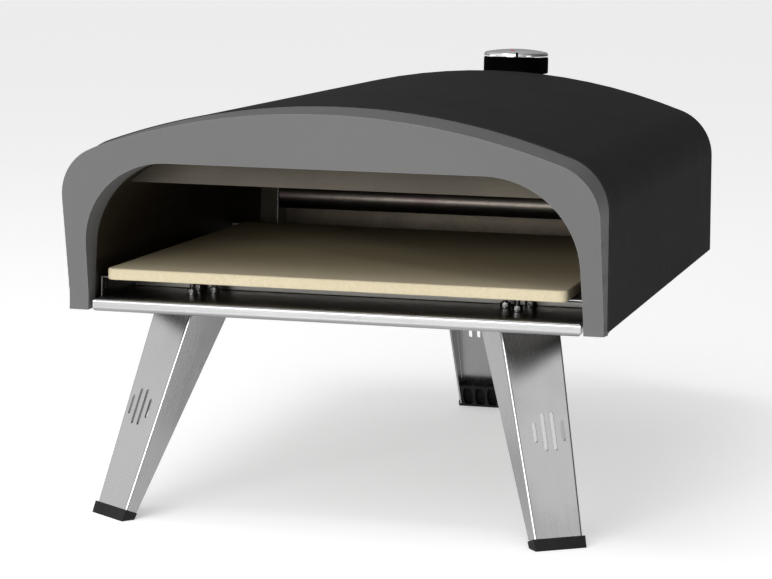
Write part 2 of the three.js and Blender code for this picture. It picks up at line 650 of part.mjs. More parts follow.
// Bolt with its head under the bracket and its nut and washer on the oven floor.
function legBolt() {
  const head = BRACKET.low - GAP;
  const floorTop = FLOOR.top + LEG.drop + GAP;
  const bolt = turned([[0, head - 2.2], [2.2, head - 2.2], [3.2, head - 1], [3.2, head],
    [BOLT_RADIUS, head], [BOLT_RADIUS, floorTop], [4.4, floorTop], [4.4, floorTop + 0.8],
    [BOLT_RADIUS, floorTop + 0.8], [BOLT_RADIUS, floorTop + 8], [1.3, floorTop + 8.8],
    [0, floorTop + 8.8]], 'z', [0, 0, 0], 8);
  const nut = new THREE.CylinderGeometry(4, 4, 3.2, 6).rotateX(Math.PI / 2)
    .translate(0, 0, floorTop + 0.7 + 1.6);
  return join(bolt, solid(nut));
}

// ---------------------------------------------------------------- finishes
const FINISHES = {
  charcoal_paint: [0x2b2b2b, 0.72, 0.2],
  grey_paint: [0x858585, 0.5, 0.35],
  polished_steel: [0xd8d8d8, 0.18, 1],
  brushed_steel: [0xb4b4b4, 0.34, 1],
  dark_liner: [0x3a352f, 0.5, 0.8],
  header_steel: [0x5f5850, 0.4, 0.9],
  floor_steel: [0x55524e, 0.38, 0.9],
  zinc_steel: [0x9b9b98, 0.4, 0.9],
  galvanised: [0x8f9294, 0.5, 0.8],
  ceramic_wool: [0xe6e0d2, 1, 0],
  cordierite: [0xe0d6b6, 0.9, 0],
  brass: [0xb5954d, 0.35, 1],
  copper: [0xb06a42, 0.4, 1],
  white_ceramic: [0xf0ece2, 0.4, 0],
  black_rubber: [0x262626, 0.85, 0],
  black_plastic: [0x0c0c0c, 0.55, 0],
  chrome: [0xe6e6e6, 0.08, 1],
};

function piece(parent, name, body, finish, place = [0, 0, 0]) {
  const mesh = body.getMesh();
  const geometry = new THREE.BufferGeometry();
  geometry.setAttribute('position', new THREE.BufferAttribute(mesh.vertProperties, 3));
  geometry.setIndex(new THREE.BufferAttribute(mesh.triVerts, 1));
  geometry.computeVertexNormals();
  const [color, roughness, metalness] = FINISHES[finish];
  const node = new THREE.Mesh(geometry, new THREE.MeshStandardMaterial({ color, roughness, metalness }));
  node.name = name;
  node.position.set(...place);
  parent.add(node);
}

// ---------------------------------------------------------------- assembly
const group = new THREE.Group();
const oven = new THREE.Group();
oven.position.set(0, (NOSE - HOUSING.back) / 2, STAND_HEIGHT);
group.add(oven);

const STATIONS = [
  { name: 'front_left', x: -FRONT_HINGE.x, y: FRONT_HINGE.y, turn: -FRONT_HINGE.turn, hand: -1 },
  { name: 'front_right', x: FRONT_HINGE.x, y: FRONT_HINGE.y, turn: FRONT_HINGE.turn, hand: 1 },
  { name: 'rear', x: REAR_HINGE.x, y: REAR_HINGE.y, turn: Math.PI, hand: 1 },
];

// Drillings for the leg bolts, in the oven's own coordinates.
const drillings = HOOD_SCREWS.map(([x, y]) => rod(2.2, 0, 20, 'z', [x, y, 0], 8));
for (const { x, y, turn, hand } of STATIONS) {
  for (const [along, inward] of BOLTS) {
    const spot = new THREE.Vector2(along * hand, inward).rotateAround(new THREE.Vector2(), turn);
    drillings.push(rod(BOLT_RADIUS + 0.4, 0, 20, 'z', [x + spot.x, y + spot.y, 0], 8));
  }
}

piece(oven, 'hood_shell', hoodShell(), 'charcoal_paint');
piece(oven, 'front_bezel', frontBezel(), 'grey_paint');
piece(oven, 'rear_panel', rearPanel(), 'charcoal_paint');
piece(oven, 'floor_pan', floorPan(drillings), 'floor_steel');
piece(oven, 'floor_tray', floorTray(), 'header_steel');
piece(oven, 'front_lip_bar', lipBar(), 'polished_steel');
piece(oven, 'liner_tunnel', linerTunnel(), 'dark_liner');
piece(oven, 'liner_header', linerHeader(), 'header_steel');
piece(oven, 'liner_rear_wall', linerRearWall(), 'dark_liner');
piece(oven, 'insulation_blanket', insulationBlanket(), 'ceramic_wool');
piece(oven, 'stone_ledge_left', stoneLedge(-1), 'polished_steel');
piece(oven, 'stone_ledge_right', stoneLedge(1), 'polished_steel');
piece(oven, 'pizza_stone', pizzaStone(), 'cordierite');

piece(oven, 'burner_tube', burnerTube(), 'brushed_steel');
piece(oven, 'burner_bracket_left', burnerBracket(-1), 'polished_steel');
piece(oven, 'burner_bracket_right', burnerBracket(1), 'polished_steel');
piece(oven, 'venturi_tube', venturiTube(), 'zinc_steel');
piece(oven, 'gas_injector', gasInjector(), 'brass');
piece(oven, 'gas_pipe', gasPipe(), 'zinc_steel');
piece(oven, 'gas_valve_body', gasValveBody(), 'brass');
piece(oven, 'gas_inlet_pipe', gasInletPipe(), 'copper');
piece(oven, 'gas_inlet_nipple', gasInletNipple(), 'brass');
piece(oven, 'igniter_insulator', igniterInsulator(), 'white_ceramic');
piece(oven, 'igniter_wire', igniterWire(), 'zinc_steel');
piece(oven, 'ignition_lead', sensorLead(IGNITER.x, IGNITER.back + GAP, 8, 104, 1.5), 'black_rubber');
piece(oven, 'thermocouple_probe', thermocoupleProbe(), 'copper');
piece(oven, 'thermocouple_lead', sensorLead(PROBE.x, PROBE.back + GAP, 20, 108, 1.1), 'copper');

piece(oven, 'valve_housing', valveHousing(), 'charcoal_paint');
piece(oven, 'knob_ring', knobRing(), 'polished_steel', [VALVE.x, VALVE.y, 0]);
piece(oven, 'valve_stem', valveStem(), 'zinc_steel', [VALVE.x, VALVE.y, 0]);
piece(oven, 'knob_grip', knobGrip(), 'black_plastic', [VALVE.x, VALVE.y, 0]);
piece(oven, 'knob_cap', knobCap(), 'chrome', [VALVE.x, VALVE.y, 0]);

HOOD_SCREWS.forEach(([x, y], i) => {
  const place = [x, y, HOOD.bottom - GAP];
  piece(oven, `hood_screw_${i + 1}`, screw(2, 7, 3.8, 2.2, 'z'), 'zinc_steel', place);
});
housingScrewPlaces().forEach(([x, z], i) => {
  const place = [x, HOUSING.front + SHEET + GAP, z];
  piece(oven, `housing_screw_${i + 1}`, screw(1.8, 8, 3.6, 2.2, 'y'), 'zinc_steel', place);
});

for (const { name, x, y, turn, hand } of STATIONS) {
  const station = new THREE.Group();
  station.position.set(x, y, -LEG.drop);
  station.rotation.z = turn;
  oven.add(station);
  piece(station, `leg_${name}`, legChannel(hand), 'brushed_steel');
  piece(station, `foot_${name}`, rubberFoot(), 'black_rubber');
  piece(station, `leg_bracket_${name}`, legBracket(hand), 'galvanised');
  piece(station, `leg_pin_${name}`, legPin(), 'zinc_steel');
  BOLTS.forEach(([along, inward], i) => {
    piece(station, `leg_bolt_${name}_${i + 1}`, legBolt(), 'zinc_steel', [along * hand, inward, 0]);
  });
}

export default group;
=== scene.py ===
# Looks for the countertop pizza oven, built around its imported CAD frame.
# Metres, in the CAD's own frame: +Y from the mouth to the back, +Z up, the table at z = 0.
import json
import math
import random

import bmesh
import bpy
from mathutils import Matrix, Vector


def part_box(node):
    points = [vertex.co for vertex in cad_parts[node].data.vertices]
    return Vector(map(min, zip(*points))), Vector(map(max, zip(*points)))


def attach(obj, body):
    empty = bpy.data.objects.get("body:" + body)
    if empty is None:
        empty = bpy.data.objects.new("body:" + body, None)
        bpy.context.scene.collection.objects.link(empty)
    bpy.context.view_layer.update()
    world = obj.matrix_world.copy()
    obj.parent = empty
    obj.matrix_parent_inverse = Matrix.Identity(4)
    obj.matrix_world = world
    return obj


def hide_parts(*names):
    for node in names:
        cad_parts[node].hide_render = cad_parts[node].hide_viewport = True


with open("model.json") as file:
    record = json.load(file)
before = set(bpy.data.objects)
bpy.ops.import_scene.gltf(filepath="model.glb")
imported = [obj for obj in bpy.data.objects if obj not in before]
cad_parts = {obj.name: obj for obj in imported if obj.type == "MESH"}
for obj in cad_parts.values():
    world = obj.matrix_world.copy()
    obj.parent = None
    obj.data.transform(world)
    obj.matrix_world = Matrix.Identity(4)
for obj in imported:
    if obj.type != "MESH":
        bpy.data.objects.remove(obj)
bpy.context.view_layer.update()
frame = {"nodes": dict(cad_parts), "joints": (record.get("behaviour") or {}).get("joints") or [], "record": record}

MM = 0.001
random.seed(7)

# ------------------------------------------------------------------ places read from the frame
BEZEL_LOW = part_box("front_bezel")[0]
HOOD_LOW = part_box("hood_shell")[0]
STONE_LOW, STONE_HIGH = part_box("pizza_stone")
GRIP_LOW, GRIP_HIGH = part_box("knob_grip")
CAP_LOW, CAP_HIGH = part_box("knob_cap")
FACE_Y = HOOD_LOW.y - 10.6 * MM          # the bezel's upright foot
BASE_Z = BEZEL_LOW.z                     # the bezel's bottom edge

# ------------------------------------------------------------------ driving dimensions
ARCH_HALF = 197.0 * MM                   # the bezel's outline: half width at the bottom,
ARCH_TAPER = 0.0145                      # sides leaning in,
ARCH_CROWN = 150.7 * MM                  # crown height,
ARCH_RADIUS = 492 * MM                   # crown arc
ARCH_SHOULDER = 40.3 * MM                # and shoulder arcs

SEAL_LOW = 3 * MM                        # the seal starts this far above the bezel's bottom edge
SEAL_INNER, SEAL_OUTER = 0.6 * MM, 2.05 * MM    # its faces, outside the bezel's outline
SEAL_RISE = 1.2 * MM                     # the hood's crown stands this much higher
SEAL_FRONT, SEAL_BACK = 2.2 * MM, 0.2 * MM      # its reach before and behind the hood's edge

STONE_CORNER = 6 * MM                    # corner radius in plan
STONE_PITCH = 2.2 * MM                   # spacing of the points round its outline
STONE_CHIPS = 26                         # small chips along the lower edge

LEG_TURNS = {"front_left": math.radians(-37.5), "front_right": math.radians(37.5), "rear": math.pi}
LEG_SPLAY = 55 / 147                     # lean of a leg's web
WEB_WIDTH, WEB_TAPER = 48.6 * MM, 10.1 / 147    # width at the bezel's bottom edge, and its narrowing
HINGE_DROP, HINGE_DEPTH = 5.5 * MM, 25.1 * MM   # hinge axis below that edge, and behind the web
LEG_SHEET = 1.5 * MM
LEG_BEND_OUTSIDE, LEG_BEND_INSIDE = 2.2 * MM, 0.7 * MM

GRIP_FLUTES = 80
FLUTE_DEPTH = 0.35 * MM
STEM_BORE = 4.3 * MM
POINTER_TURN = math.radians(13)          # the pointer's angle from straight ahead
POINTER_HALF, POINTER_DEPTH = 1.1 * MM, 3.6 * MM
RED_MARK_PLACE = Vector((-0.5 * MM, -14 * MM, 0))

SCREW_HEAD = 2.2 * MM                    # height of a pan head
HOOD_SCREW = (3.8 * MM, 7 * MM)          # head radius and length of the shank
HOUSING_SCREW = (3.6 * MM, 8 * MM)
NUT_RADIUS, NUT_HEIGHT = 4.0 * MM, 3.15 * MM
BOLT_ABOVE_FLOOR = 8.8 * MM

# The camera looks at the mouth from its right: turned, tipped down and rolled slightly.
CAMERA_YAW, CAMERA_PITCH, CAMERA_ROLL = math.radians(14.17), math.radians(7.6), math.radians(-0.98)
CAMERA_LENS, CAMERA_SENSOR = 129.03, 36
CAMERA_PLACE = Vector((515.5 * MM, FACE_Y - 1880.5 * MM, BASE_Z + 284.7 * MM))


# ------------------------------------------------------------------ mesh helpers
def make_object(name, bm, materials):
    mesh = bpy.data.meshes.new(name)
    bm.normal_update()
    bm.to_mesh(mesh)
    bm.free()
    piece = bpy.data.objects.new(name, mesh)
    bpy.context.scene.collection.objects.link(piece)
    for material in materials:
        mesh.materials.append(material)
    return piece


def smooth_by_angle(piece, degrees=32):
    mesh = piece.data
    for polygon in mesh.polygons:
        polygon.use_smooth = True
    mesh.set_sharp_from_angle(angle=math.radians(degrees))


def sharp_edges(bm, degrees=28):
    found = []
    for edge in bm.edges:
        if len(edge.link_faces) == 2 and edge.calc_face_angle(0) > math.radians(degrees):
            found.append(edge)
    return found


def round_edges(bm, edges, width, segments):
    if edges:
        bmesh.ops.bevel(bm, geom=edges, offset=width, offset_type="OFFSET", segments=segments,
                        profile=0.5, affect="EDGES", clamp_overlap=True)


def cad_copy(node):
    """A bmesh of the node's solid with shared corners and whole flat faces."""
    bm = bmesh.new()
    bm.from_mesh(frame["nodes"][node].data)
    bmesh.ops.remove_doubles(bm, verts=bm.verts, dist=3e-6)
    bmesh.ops.dissolve_limit(bm, angle_limit=math.radians(0.6), verts=bm.verts, edges=bm.edges)
    bm.normal_update()
    return bm


def refined(node, material, width=0.35 * MM, segments=2, bends=(), smooth=32, corner=35):
    """A finished copy of a CAD node: each listed bend gets its own radius, other edges a small one."""
    bm = cad_copy(node)
    for chosen, radius in bends:
        round_edges(bm, [e for e in sharp_edges(bm) if all(chosen(v.co) for v in e.verts)], radius, 5)
    round_edges(bm, [e for e in sharp_edges(bm, corner) if e.calc_length() > 2 * width], width, segments)
    piece = make_object(node + "_finished", bm, [material])
    smooth_by_angle(piece, smooth)
    piece.modifiers.new("normals", "WEIGHTED_NORMAL").keep_sharp = True
    stand_for(piece, node)
    return piece


def stand_for(piece, node):
    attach(piece, body_of(node))
    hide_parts(node)


def body_of(node):
    return next(b for b, nodes in frame["record"]["behaviour"]["bodies"].items() if node in nodes)


def sweep_rings(bm, rings):
    """Faces between neighbouring closed rings of vertices; a ring of one vertex closes the end."""
    for lower, upper in zip(rings, rings[1:]):
        count = max(len(lower), len(upper))
        for i in range(count):
            j = (i + 1) % count
            corners = [lower[i % len(lower)], lower[j % len(lower)],
                       upper[j % len(upper)], upper[i % len(upper)]]
            bm.faces.new(list(dict.fromkeys(corners)))


def turned_rings(bm, profile, place, sides, modulate=None):
    """Rings of (radius, height) pairs about the local z axis, set in place by a matrix."""
    rings = []
    for radius, height in profile:
        ring = []
        for i in range(sides if radius > 1e-7 else 1):
            angle = 2 * math.pi * i / sides
            r = radius + (modulate(angle, height) if modulate and radius > 1e-7 else 0)
            ring.append(bm.verts.new(place @ Vector((r * math.cos(angle), r * math.sin(angle), height))))
        rings.append(ring)
    sweep_rings(bm, rings)


def lathe(name, profile, centre, sides, material, modulate=None, smooth=40):
    bm = bmesh.new()
    turned_rings(bm, profile, Matrix.Translation(centre), sides, modulate)
    bmesh.ops.recalc_face_normals(bm, faces=bm.faces)
    piece = make_object(name, bm, [material])
    smooth_by_angle(piece, smooth)
    return piece


# ------------------------------------------------------------------ material helpers
class Nodes:
    """Short hand for building one procedural material."""

    def __init__(self, name, roughness=0.5, metallic=0.0, **sockets):
        self.material = bpy.data.materials.new(name)
        self.material.use_nodes = True
        self.tree = self.material.node_tree
        self.shader = self.tree.nodes["Principled BSDF"]
        self.shader.inputs["Roughness"].default_value = roughness
        self.shader.inputs["Metallic"].default_value = metallic
        for socket, value in sockets.items():
            self.shader.inputs[socket.replace("_", " ")].default_value = value
        self.place = self.add("ShaderNodeTexCoord").outputs["Object"]

    def add(self, kind, **settings):
        node = self.tree.nodes.new(kind)
        for key, value in settings.items():
            setattr(node, key, value)
        return node

    def link(self, output, socket):
        self.tree.links.new(output, socket)

    def turned(self, rotation):
        node = self.add("ShaderNodeMapping")
        node.inputs["Rotation"].default_value = rotation
        self.link(self.place, node.inputs["Vector"])
        return node.outputs["Vector"]

    def scaled(self, scale, source=None):
        node = self.add("ShaderNodeMapping")
        node.inputs["Scale"].default_value = scale
        self.link(source or self.place, node.inputs["Vector"])
        return node.outputs["Vector"]

    def noise(self, scale, detail=4, roughness=0.55, source=None, distortion=0.0):
        node = self.add("ShaderNodeTexNoise")
        node.inputs["Scale"].default_value = scale
        node.inputs["Detail"].default_value = detail
        node.inputs["Roughness"].default_value = roughness
        node.inputs["Distortion"].default_value = distortion
        self.link(source or self.place, node.inputs["Vector"])
        return node.outputs["Fac"]

    def cells(self, scale, feature="F1", source=None):
        node = self.add("ShaderNodeTexVoronoi", feature=feature)
        node.inputs["Scale"].default_value = scale
        self.link(source or self.place, node.inputs["Vector"])
        return node.outputs["Distance"]

    def ramp(self, value, low, high, to_low=0.0, to_high=1.0):
        node = self.add("ShaderNodeMapRange", clamp=True)
        limits = (("From Min", low), ("From Max", high), ("To Min", to_low), ("To Max", to_high))
        for socket, number in limits:
            node.inputs[socket].default_value = number
        self.link(value, node.inputs["Value"])
        return node.outputs["Result"]

    def mix(self, factor, first, second):
        node = self.add("ShaderNodeMix", data_type="RGBA")
        self.link(factor, node.inputs["Factor"])
        for value, socket in ((first, node.inputs[6]), (second, node.inputs[7])):
            if isinstance(value, tuple):
                socket.default_value = (*value, 1)
            else:
                self.link(value, socket)
        return node.outputs[2]

    def sum(self, first, second, operation="ADD"):
        node = self.add("ShaderNodeMath", operation=operation)
        for value, socket in ((first, node.inputs[0]), (second, node.inputs[1])):
            if isinstance(value, float):
                socket.default_value = value
            else:
                self.link(value, socket)
        return node.outputs[0]

    def coordinates(self):
        """The place on the object as separate X, Y and Z numbers."""
        node = self.add("ShaderNodeSeparateXYZ")
        self.link(self.place, node.inputs[0])
        return node.outputs

    def edge_highlight_and_wear(self, radius=0.7 * MM):
        """High only along edges, where a rounded normal swings away from the true one: the mask of a painted edge
        highlight, partly edge wear.
        """
        rounded = self.add("ShaderNodeBevel", samples=4)
        rounded.inputs["Radius"].default_value = radius
        swing = self.add("ShaderNodeVectorMath", operation="DOT_PRODUCT")
        self.link(rounded.outputs["Normal"], swing.inputs[0])
        self.link(self.add("ShaderNodeNewGeometry").outputs["Normal"], swing.inputs[1])
        return self.ramp(swing.outputs["Value"], 0.97, 0.85)

    def colour(self, output):
        self.link(output, self.shader.inputs["Base Color"])

    def rough(self, output):
        self.link(output, self.shader.inputs["Roughness"])

    def bump(self, output, strength, distance, after=None):
        node = self.add("ShaderNodeBump")
        node.inputs["Strength"].default_value = strength
        node.inputs["Distance"].default_value = distance
        self.link(output, node.inputs["Height"])
        if after:
            self.link(after, node.inputs["Normal"])
        self.link(node.outputs["Normal"], self.shader.inputs["Normal"])
        return node.outputs["Normal"]


# ------------------------------------------------------------------ materials
def grey(level):
    return (level, level, level)


def powder_coat(name, dark, light, roughness, grain, specular):
    """Matt powder coat: fine leathery grain, faint cloudiness, edges painted paler as a painted highlight, partly
    edge wear.
    """
    m = Nodes(name, roughness, Specular_IOR_Level=specular)
    base = m.mix(m.ramp(m.noise(6, 2), 0.35, 0.65), dark, light)
    speckled = m.mix(m.ramp(m.noise(grain, 2), 0.62, 0.75, 0.0, 0.35), base, tuple(c * 1.5 for c in light))
    # painted highlight: edges lightened towards twice the light tone, broken up by noise, partly edge wear
    edge_highlit_and_worn = m.mix(m.sum(m.edge_highlight_and_wear(), m.noise(160, 3), "MULTIPLY"), speckled, tuple(c * 2.0 for c in light))
    m.colour(edge_highlit_and_worn)
    m.rough(m.ramp(m.noise(40, 3), 0.3, 0.7, roughness - 0.03, roughness + 0.04))
    m.bump(m.noise(grain, 4, 0.6), 0.3, 0.1 * MM)
    return m.material


def brushed(name, dark, light, roughness, rotation=(0, 0, 0), along=(900, 900, 12), tint=None,
            spread=0.04):
    """Brushed steel: hairlines along one direction, cloudy polish, a little handling."""
    m = Nodes(name, roughness, 1.0)
    turned = m.turned(rotation)
    hair = m.noise(1, 3, 0.7, m.scaled(along, turned))
    wide = m.noise(1, 2, 0.5, m.scaled(tuple(a * 0.22 for a in along), turned))
    streak = m.sum(m.sum(hair, 0.65, "MULTIPLY"), m.sum(wide, 0.35, "MULTIPLY"))
    base = m.mix(m.ramp(streak, 0.35, 0.65), dark, light)
    if tint:
        base = m.mix(m.ramp(m.noise(14, 3, 0.6), 0.42, 0.72), base, tint)
    m.colour(base)
    m.rough(m.sum(m.ramp(streak, 0.3, 0.7, roughness - spread, roughness + spread),
                  m.ramp(m.noise(22, 4), 0.4, 0.75, 0.0, 0.05)))
    m.bump(hair, 0.08, 0.02 * MM)
    return m.material


def polished(name, colour, roughness, rotation=(0, 0, 0), along=(8, 700, 700)):
    """Polished steel with faint polishing lines and thin smudges."""
    m = Nodes(name, roughness, 1.0)
    lines = m.noise(1, 2, 0.5, m.scaled(along, m.turned(rotation)))
    m.colour(m.mix(m.ramp(lines, 0.35, 0.65), colour, tuple(min(1, c * 1.12) for c in colour)))
    m.rough(m.ramp(m.noise(30, 4), 0.35, 0.75, roughness, roughness + 0.08))
    m.bump(lines, 0.04, 0.02 * MM)
    return m.material


def cast_metal(name, dark, light, roughness, grain=500):
    """Zinc, brass or copper: mottled tone with a fine machined skin."""
    m = Nodes(name, roughness, 1.0)
    m.colour(m.mix(m.ramp(m.noise(45, 4), 0.32, 0.7), dark, light))
    m.rough(m.ramp(m.noise(120, 3), 0.3, 0.7, roughness - 0.06, roughness + 0.1))
    m.bump(m.noise(grain, 3), 0.18, 0.05 * MM)
    return m.material


def moulded(name, dark, light, roughness, grain=700, depth=0.06, specular=0.5):
    """Rubber or plastic: fine spark-eroded grain and slight dusting."""
    m = Nodes(name, roughness, Specular_IOR_Level=specular)
    m.colour(m.mix(m.ramp(m.noise(30, 4), 0.35, 0.75), dark, light))
    m.rough(m.ramp(m.noise(90, 3), 0.3, 0.7, roughness - 0.06, roughness + 0.08))
    m.bump(m.noise(grain, 4), 0.35, depth * MM)
    return m.material


def cordierite():
    """Baking stone: cream, finely pitted, speckled, darker and browner towards the back."""
    m = Nodes("baking_stone", 0.9, Specular_IOR_Level=0.2)
    grain = m.mix(m.ramp(m.noise(420, 3, 0.7), 0.3, 0.7), (0.51, 0.445, 0.30), (0.585, 0.515, 0.37))
    cloudy = m.mix(m.ramp(m.noise(11, 4), 0.35, 0.75, 0.0, 0.45), grain, (0.48, 0.41, 0.275))
    specks = m.ramp(m.cells(330), 0.10, 0.14, 0.5, 0.0)
    speckled = m.mix(specks, cloudy, (0.42, 0.35, 0.24))
    # darker and browner towards the back of the oven
    depth = m.ramp(m.coordinates()["Y"], STONE_LOW.y + 4 * MM, STONE_LOW.y + 120 * MM, 0.0, 0.5)
    m.colour(m.mix(depth, speckled, (0.38, 0.29, 0.14)))
    m.rough(m.ramp(m.noise(200, 2), 0.3, 0.7, 0.85, 0.97))
    pits = m.ramp(m.cells(260), 0.0, 0.25)
    m.bump(m.sum(m.noise(500, 4), pits, "MULTIPLY"), 0.3, 0.1 * MM)
    return m.material


def ceramic_wool():
    m = Nodes("ceramic_wool", 1.0)
    fibre = m.noise(1, 4, 0.7, m.scaled((300, 60, 300)))
    m.colour(m.mix(m.ramp(fibre, 0.3, 0.7), (0.62, 0.58, 0.5), (0.85, 0.82, 0.74)))
    m.bump(fibre, 0.6, 0.8 * MM)
    return m.material


def enamel_dot():
    """Small red pointer mark on the knob's cap."""
    m = Nodes("red_enamel", 0.35)
    m.colour(m.mix(m.noise(900, 2), (0.42, 0.02, 0.04), (0.52, 0.035, 0.06)))
    m.bump(m.noise(1500, 2), 0.1, 0.01 * MM)
    return m.material


def leg_grain(turn):
    """Rotation that lays a leg's own axis along z."""
    upright = Matrix.Rotation(-turn, 3, "Z")
    leaning = Matrix.Rotation(math.atan(LEG_SPLAY), 3, "X")
    return tuple((leaning @ upright).to_euler())


MATERIALS = {
    "hood_paint": powder_coat("charcoal_coat", grey(0.0255), grey(0.0285), 0.8, 900, 0.02),
    "bezel_paint": powder_coat("grey_coat", (0.131, 0.131, 0.1305), (0.137, 0.137, 0.1365), 0.5, 1500, 0.05),
    "polished_steel": polished("polished_bar", grey(0.31), 0.27),
    "floor_steel": brushed("floor_sheet", (0.105, 0.10, 0.092), (0.16, 0.155, 0.145), 0.30,
                           along=(10, 800, 800)),
    # painted shade: the liner steel is made dark and brownish to stand for the shade inside the firebox
    "liner_steel": brushed("liner_sheet_painted_shade", (0.085, 0.073, 0.052), (0.15, 0.13, 0.10), 0.46,
                           along=(700, 10, 700), tint=(0.09, 0.075, 0.06)),
    # painted shade: the header steel is darkened to cancel the light the front lamp throws on it
    "header_steel": brushed("header_sheet_painted_shade", (0.056, 0.049, 0.039), (0.074, 0.066, 0.053), 0.5,
                            along=(8, 700, 700), tint=(0.054, 0.048, 0.040)),
    "zinc_steel": cast_metal("bright_zinc", (0.22, 0.22, 0.22), (0.36, 0.36, 0.35), 0.3),
    "bracket_steel": cast_metal("galvanised_sheet", (0.34, 0.35, 0.36), (0.50, 0.51, 0.52), 0.42, 160),
    "burner_steel": brushed("burner_steel", (0.20, 0.18, 0.15), (0.34, 0.31, 0.27), 0.38,
                            along=(10, 600, 600), tint=(0.16, 0.11, 0.12)),
    "insulation": ceramic_wool(),
    "stone": cordierite(),
    "brass": cast_metal("machined_brass", (0.50, 0.34, 0.12), (0.66, 0.47, 0.20), 0.28),
    "copper": cast_metal("drawn_copper", (0.50, 0.21, 0.11), (0.68, 0.32, 0.18), 0.3),
    "ceramic": moulded("glazed_ceramic", (0.74, 0.71, 0.64), (0.84, 0.82, 0.76), 0.25, 200, 0.02),
    "black_rubber": moulded("black_rubber", grey(0.009), grey(0.015), 0.7, 600, 0.1, 0.2),
    "knob_plastic": moulded("black_phenolic", grey(0.0006), grey(0.0012), 0.6, 900, 0.05, 0.01),
    "knob_chrome": polished("bright_chrome", (0.80, 0.80, 0.81), 0.08, along=(300, 300, 300)),
}
LEG_STEEL = {
    name: brushed("leg_steel_" + name, grey(0.375), grey(0.395), 0.25,
                  rotation=leg_grain(turn), along=(1100, 1100, 14), spread=0.025)
    for name, turn in LEG_TURNS.items()
}
RED_ENAMEL = enamel_dot()


# ------------------------------------------------------------------ outlines
def arch_outline(grow, bottom, rise=0.0, steps=40):
    """Points of the outer arch from the right foot over the crown to the left foot."""
    slope = math.hypot(1, ARCH_TAPER)
    edge = ARCH_HALF + grow * slope
    shoulder = ARCH_SHOULDER + grow
    radius = ARCH_RADIUS + grow
    centre_z = ARCH_CROWN + grow + rise - radius
    reach = edge - shoulder * slope
    b = reach * ARCH_TAPER + centre_z
    c = reach ** 2 + centre_z ** 2 - (radius - shoulder) ** 2
    z = (b + math.sqrt(b * b - slope ** 2 * c)) / slope ** 2
    x = reach - ARCH_TAPER * z
    side = math.atan(ARCH_TAPER)
    crown = math.atan2(z - centre_z, x)
    right = [(edge - ARCH_TAPER * bottom, bottom)]
    for i in range(steps + 1):
        angle = side + (crown - side) * i / steps
        right.append((x + shoulder * math.cos(angle), z + shoulder * math.sin(angle)))
    for i in range(1, steps + 1):
        angle = crown + (math.pi / 2 - crown) * i / steps
        right.append((radius * math.cos(angle), centre_z + radius * math.sin(angle)))
    left = [(-px, pz) for px, pz in reversed(right[:-1])]
    return right + left


# ------------------------------------------------------------------ casing
def hood_seal():
    """Thin black seal bridging the seam between the bezel's band and the hood's front edge."""
    inner = arch_outline(SEAL_INNER, SEAL_LOW)
    outer = arch_outline(SEAL_OUTER, SEAL_LOW, SEAL_RISE)
    bm = bmesh.new()
    rows = []
    for y in (HOOD_LOW.y - SEAL_FRONT, HOOD_LOW.y + SEAL_BACK):
        for outline in (inner, outer) if not rows else (outer, inner):
            rows.append([bm.verts.new((px, y, BASE_Z + pz)) for px, pz in outline])
    for a, b in zip(rows, rows[1:] + rows[:1]):
        for i in range(len(a) - 1):
            bm.faces.new((a[i], a[i + 1], b[i + 1], b[i]))
    for i in (0, -1):
        bm.faces.new([row[i] for row in rows])
    bmesh.ops.recalc_face_normals(bm, faces=bm.faces)
    piece = make_object("hood_front_seal", bm, [MATERIALS["black_rubber"]])
    smooth_by_angle(piece)
    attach(piece, "chassis")


def casing():
    refined("hood_shell", MATERIALS["hood_paint"], 0.45 * MM)
    refined("front_bezel", MATERIALS["bezel_paint"], 0.5 * MM, 3)
    refined("rear_panel", MATERIALS["hood_paint"], 0.3 * MM)
    refined("valve_housing", MATERIALS["hood_paint"], 0.5 * MM, 3)
    refined("front_lip_bar", MATERIALS["polished_steel"], 0.15 * MM)
    refined("floor_pan", MATERIALS["floor_steel"], 0.25 * MM)
    refined("floor_tray", MATERIALS["floor_steel"], 0.3 * MM)
    hood_seal()


def rounded_rectangle(low, high, corner, pitch):
    """Points round a rectangle in plan, about a pitch apart, each with the way out of the shape."""
    points = []
    for sx, sy, start in ((1, 1, 0), (-1, 1, 90), (-1, -1, 180), (1, -1, 270)):
        centre = Vector((high.x - corner if sx > 0 else low.x + corner,
                         high.y - corner if sy > 0 else low.y + corner))
        for i in range(9):
            angle = math.radians(start + 90 * i / 8)
            out = Vector((math.cos(angle), math.sin(angle)))
            points.append((centre + out * corner, out))
    full = []
    for (a, out), (b, after) in zip(points, points[1:] + points[:1]):
        steps = max(1, round((b - a).length / pitch))
        full += [(a.lerp(b, i / steps), out.lerp(after, i / steps).normalized()) for i in range(steps)]
    return full


def baking_stone():
    """Slab with worn, slightly uneven edges and a few small chips along its lower front edge."""
    outline = rounded_rectangle(STONE_LOW, STONE_HIGH, STONE_CORNER, STONE_PITCH)
    thick = (STONE_HIGH.z - STONE_LOW.z) / MM
    rings = [(1.5, 0), (0.75, 0.12), (0.25, 0.5), (0, 1.1), (0, thick - 1.3), (0.2, thick - 0.6),
             (0.7, thick - 0.14), (1.5, thick)]
    chips = [random.randrange(len(outline)) for _ in range(STONE_CHIPS)]
    bm = bmesh.new()
    made = []
    for level, (inset, height) in enumerate(rings):
        ring = []
        for i, (point, out) in enumerate(outline):
            uneven = random.uniform(0, 0.12)
            chip = max((1 - abs(i - c) / 2.2 for c in chips), default=0)
            if chip > 0 and level < 3:
                uneven += 0.9 * chip * (1 - level / 3)
            place = point - out * (inset + uneven) * MM
            ring.append(bm.verts.new((place.x, place.y, STONE_LOW.z + height * MM)))
        made.append(ring)
    sweep_rings(bm, made)
    bm.faces.new(made[0])
    bm.faces.new(made[-1])
    bmesh.ops.recalc_face_normals(bm, faces=bm.faces)
    piece = make_object("baking_stone_slab", bm, [MATERIALS["stone"]])
    smooth_by_angle(piece, 35)
    stand_for(piece, "pizza_stone")


